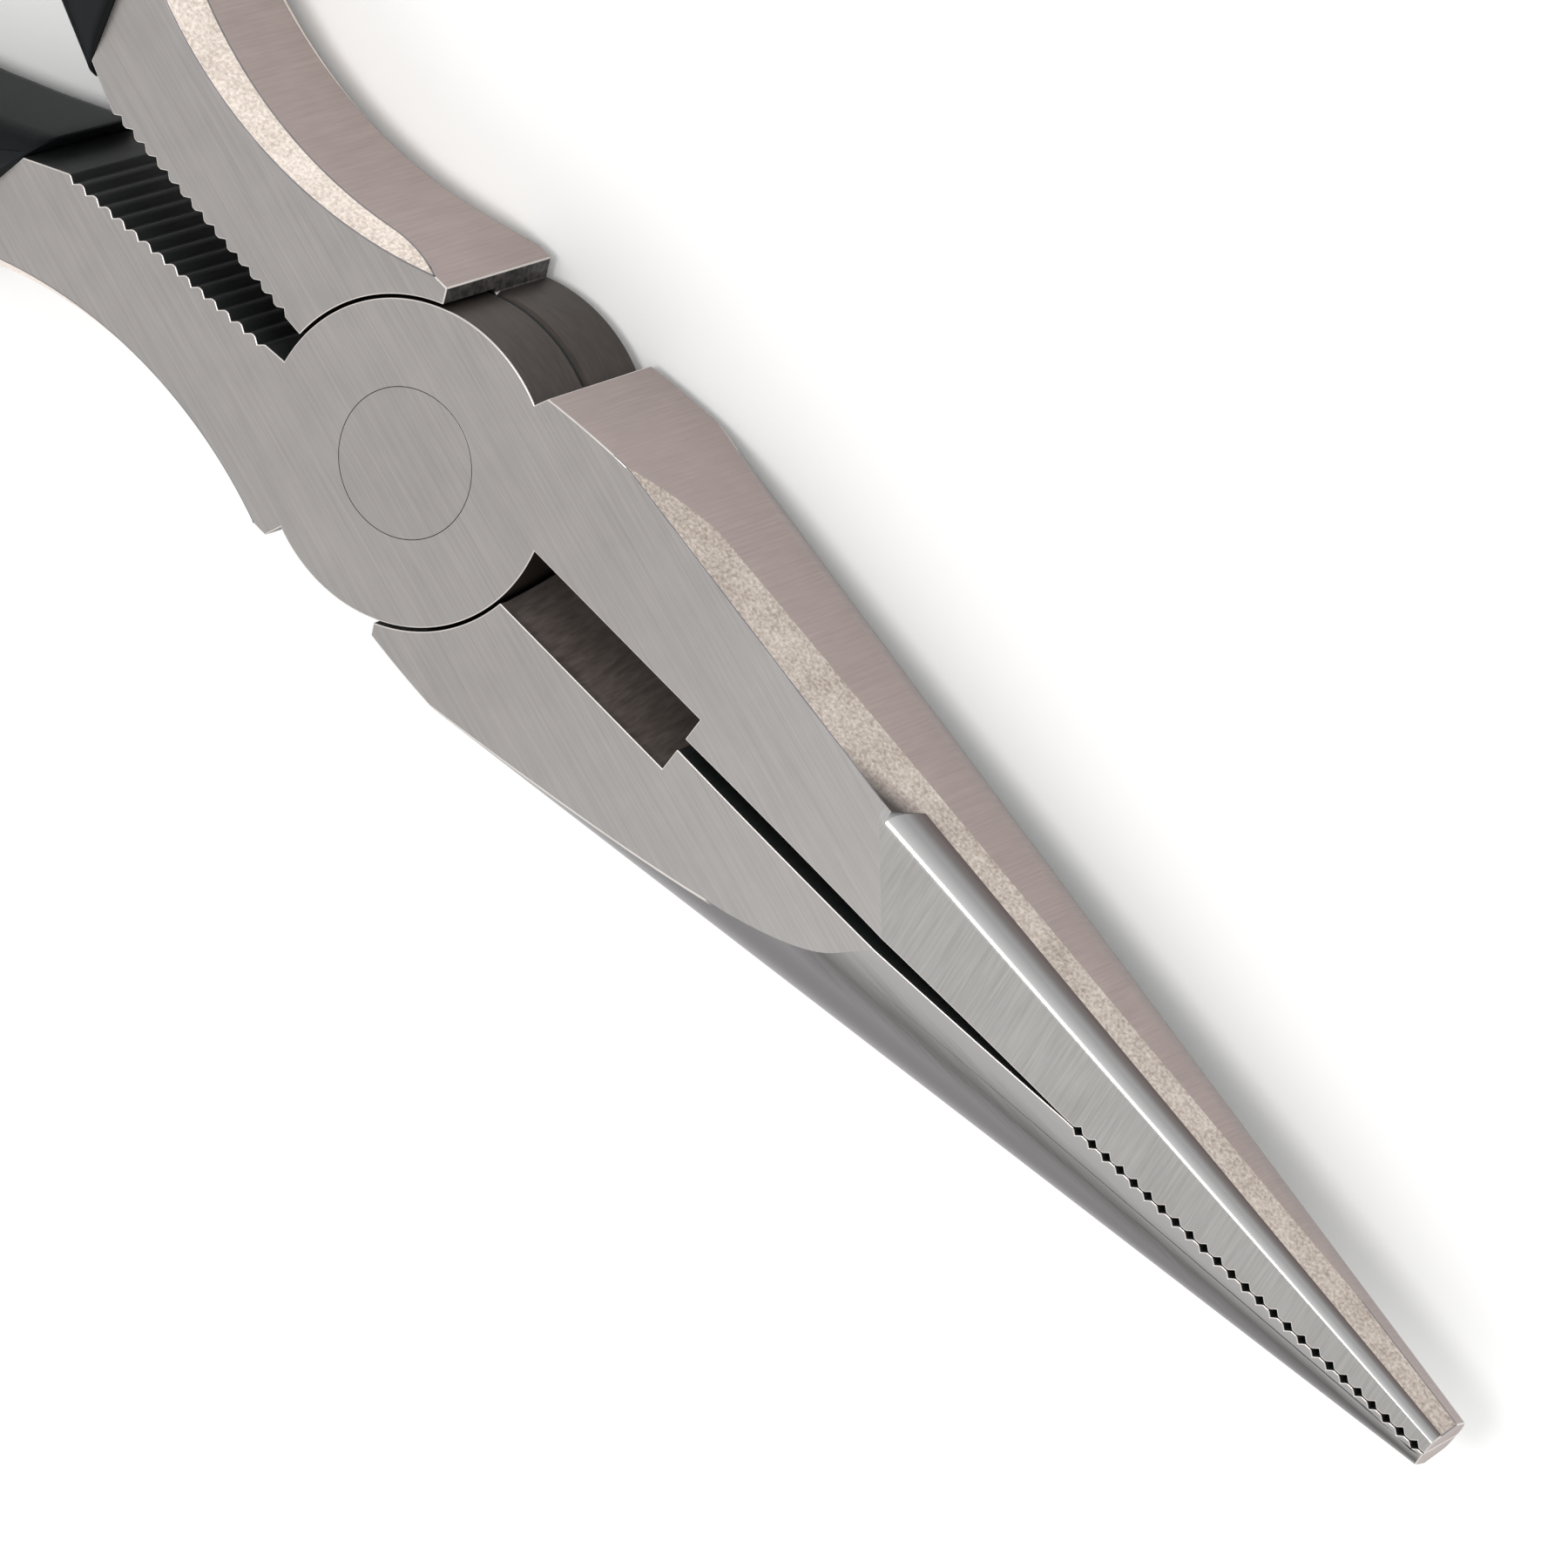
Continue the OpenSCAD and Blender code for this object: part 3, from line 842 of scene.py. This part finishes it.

# %% [markdown]
# ## The polished corner
# A cloth wheel brings the nose's corner to a mirror. The light and shade of the curved round
# are painted into this steel's colour: pale as a painted highlight by the corner, then grey,
# then a brownish painted shade along the forged skin. How far round a point lies follows from
# the curve that the belt was led along: its distance from the flank's plane shrinks with the
# square of what is left of the way, so a square root gives the way back.

# %% Polished corner
material, tree = fresh("nose_polished")
place = add(tree, "TexCoord").outputs["Object"]
axes = add(tree, "SeparateXYZ", {0: place}).outputs
off_middle = add(tree, "Math", {0: axes["Z"], 1: -MID * MM}, operation="ADD").outputs[0]
fold = add(tree, "CombineXYZ", {
    "X": axes["X"], "Y": add(tree, "Math", {0: axes["Y"]}, operation="ABSOLUTE").outputs[0],
    "Z": add(tree, "Math", {0: off_middle}, operation="ABSOLUTE").outputs[0]})
depth = add(tree, "VectorMath", {0: fold.outputs[0], 1: FORGING}, operation="DOT_PRODUCT").outputs["Value"]
depth = add(tree, "Math", {0: FORGING_REACH * MM, 1: depth}, operation="SUBTRACT").outputs[0]
width = add(tree, "MapRange", {"Value": axes["X"], "From Min": RUN_OUT_X * MM, "From Max": JAW_L * MM,
                               "To Min": TIGHT_START[0] * MM, "To Max": TIGHT_END[0] * MM}).outputs[0]
left = add(tree, "Math", {0: depth, 1: width}, operation="DIVIDE", use_clamp=True).outputs[0]
left = add(tree, "Math", {0: left, 1: 0.5}, operation="POWER").outputs[0]
# The ramp is painted highlight and shade: pale by the corner, then grey, then a dark brownish painted shade along
# the forged skin.
painted_shade_ramp = add(tree, "ValToRGB", {"Fac": left})
stops = painted_shade_ramp.color_ramp.elements
stops[0].position, stops[0].color = 0.02, rgb("#5C5250")
stops[1].position, stops[1].color = 0.9, rgb("#D9D8D7")
for position, colour in ((0.2, "#6F6B6A"), (0.45, "#A2A2A3")):
    stops.new(position).color = rgb(colour)
lines = add(tree, "Mapping", {"Vector": place, "Rotation": (0, 0, math.radians(-6)),
                              "Scale": (4 * MM, 0.2 * MM, 0.2 * MM)}, vector_type="TEXTURE")
grain = add(tree, "TexNoise", {"Vector": lines.outputs[0], "Scale": 1.0, "Detail": 3.0})
relief = add(tree, "Bump", {"Height": grain.outputs[0], "Strength": 0.06, "Distance": 0.02 * MM})
steel = add(tree, "BsdfPrincipled", {"Base Color": painted_shade_ramp.outputs[0], "Metallic": 1.0, "Roughness": 0.17,
                                     "Normal": relief.outputs[0]})
add(tree, "OutputMaterial", {"Surface": steel.outputs[0]})

# %% [markdown]
# ## The rolled side of the nose
# On its other side the nose is rolled over broadly, to a satin surface. Its reflection is
# painted into the colour: pale beside the teeth, one soft dark streak of painted shade where it
# starts to turn, and an even grey beyond it. The streak keeps to the same part of the width all
# the way to the tip, so the width is measured as a share of the taper's own.

# %% Rolled side
material, tree = fresh("nose_rolled")
place = add(tree, "TexCoord").outputs["Object"]
axes = add(tree, "SeparateXYZ", {0: place}).outputs
out = add(tree, "Math", {0: axes["Y"]}, operation="ABSOLUTE").outputs[0]
reach = add(tree, "MapRange", {"Value": axes["X"], "From Min": 37 * MM, "From Max": JAW_L * MM,
                               "To Min": 6.6 * MM, "To Max": 1.6 * MM}).outputs[0]
share = add(tree, "Math", {0: out, 1: reach}, operation="DIVIDE", use_clamp=True).outputs[0]
lines = add(tree, "Mapping", {"Vector": place, "Rotation": (0, 0, math.radians(-6)),
                              "Scale": (5 * MM, 0.18 * MM, 1 * MM)}, vector_type="TEXTURE")
grain = add(tree, "TexNoise", {"Vector": lines.outputs[0], "Scale": 1.0, "Detail": 3.0})
wander = add(tree, "MapRange", {"Value": grain.outputs[0], "To Min": -0.06, "To Max": 0.06})
share = add(tree, "Math", {0: share, 1: wander.outputs[0]}, operation="ADD", use_clamp=True).outputs[0]
# The ramp paints the round's reflection: pale beside the teeth, a soft dark streak of painted shade where it turns,
# and an even grey beyond.
painted_shade_ramp = add(tree, "ValToRGB", {"Fac": share})
stops = painted_shade_ramp.color_ramp.elements
stops[0].position, stops[0].color = 0.0, rgb("#9A9897")
stops[1].position, stops[1].color = 1.0, rgb("#858384")
for position, colour in ((0.2, "#939190"), (0.46, "#62605F"), (0.64, "#807E7F")):
    stops.new(position).color = rgb(colour)
relief = add(tree, "Bump", {"Height": grain.outputs[0], "Strength": 0.06, "Distance": 0.02 * MM})
steel = add(tree, "BsdfPrincipled", {"Base Color": painted_shade_ramp.outputs[0], "Metallic": 1.0, "Roughness": 0.3,
                                     "Normal": relief.outputs[0]})
add(tree, "OutputMaterial", {"Surface": steel.outputs[0]})

# %% [markdown]
# ## The vinyl
# Plasticised vinyl is a dull black with a soft, slightly blue sheen where it turns away, and a
# faint leathery unevenness from the mould. A low specular and a middling roughness give the
# first, and a fine bump the second.

# %% Vinyl
material, tree = fresh("satin_vinyl")
place = add(tree, "TexCoord").outputs["Object"]
skin = add(tree, "TexNoise", {"Vector": place, "Scale": 1 / (0.35 * MM), "Detail": 3.0})
cloud = add(tree, "TexNoise", {"Vector": place, "Scale": 1 / (6 * MM), "Detail": 2.0})
tone = add(tree, "Mix", {0: cloud.outputs[0], 6: rgb("#101213"), 7: rgb("#181B1D")}, data_type="RGBA")
relief = add(tree, "Bump", {"Height": skin.outputs[0], "Strength": 0.25, "Distance": 0.03 * MM})
vinyl = add(tree, "BsdfPrincipled", {"Base Color": tone.outputs[2], "Roughness": 0.5, "IOR": 1.5, "Specular IOR Level": 0.13,
                                     "Normal": relief.outputs[0]})
add(tree, "OutputMaterial", {"Surface": vinyl.outputs[0]})
for piece in (front_grip, rear_grip):
    piece.data.materials.clear()
    piece.data.materials.append(material)

# %% [markdown]
# ## The table and the light
# The floor is a plain pale sweep just under the sleeves, which touch it, and the light is a
# white room with one large softbox placed where the ground faces mirror it to the camera.

# %% Table and lights
floor_z = cad_box[0][2]
bpy.ops.object.select_all(action="DESELECT")
bpy.ops.mesh.primitive_plane_add(size=4.0, location=(0, 0, floor_z))
floor = seat()
floor.name = "pale_floor"
material, tree = fresh("pale_paper")
paper = add(tree, "BsdfPrincipled", {"Base Color": rgb("#F8F8F7"), "Roughness": 0.9})
add(tree, "OutputMaterial", {"Surface": paper.outputs[0]})
floor.data.materials.append(material)


def softbox(name, place, power, size):
    """A square soft light that looks at the joint."""
    bpy.ops.object.light_add(type="AREA", location=place)
    light = bpy.context.object
    light.name = name
    light.data.energy = power
    light.data.size = size
    light.rotation_euler = (-Vector(place)).to_track_quat("-Z", "Y").to_euler()
    return light


softbox("overhead_softbox", (-0.21, -0.42, 0.77), 1.0, 0.8)
softbox("strip_softbox", (-0.05, 0.16, 0.98), 2.6, 0.3)
world = bpy.data.worlds.new("white_room")
bpy.context.scene.world = world
world.use_nodes = True
world.node_tree.nodes["Background"].inputs["Color"].default_value = (1, 1, 1, 1)
world.node_tree.nodes["Background"].inputs["Strength"].default_value = 0.97
bpy.context.scene.view_settings.view_transform = "Standard"

# %% [markdown]
# ## Bodies and their CAD nodes
# Each piece rides on its CAD body and stands for its CAD node. Each row also gives the
# material slot of the record that its finish belongs to.

# %% Ride and replace
for piece, body, cad_node, slot in (
    (front, "front", "front_half", "ground_steel"),
    (rear, "rear", "rear_half", "ground_steel"),
    (rivet, "front", "pivot_rivet", "rivet_steel"),
    (front_grip, "front", "front_grip", "sleeve"),
    (rear_grip, "rear", "rear_grip", "sleeve"),
):
    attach(piece, body)
    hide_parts(cad_node)
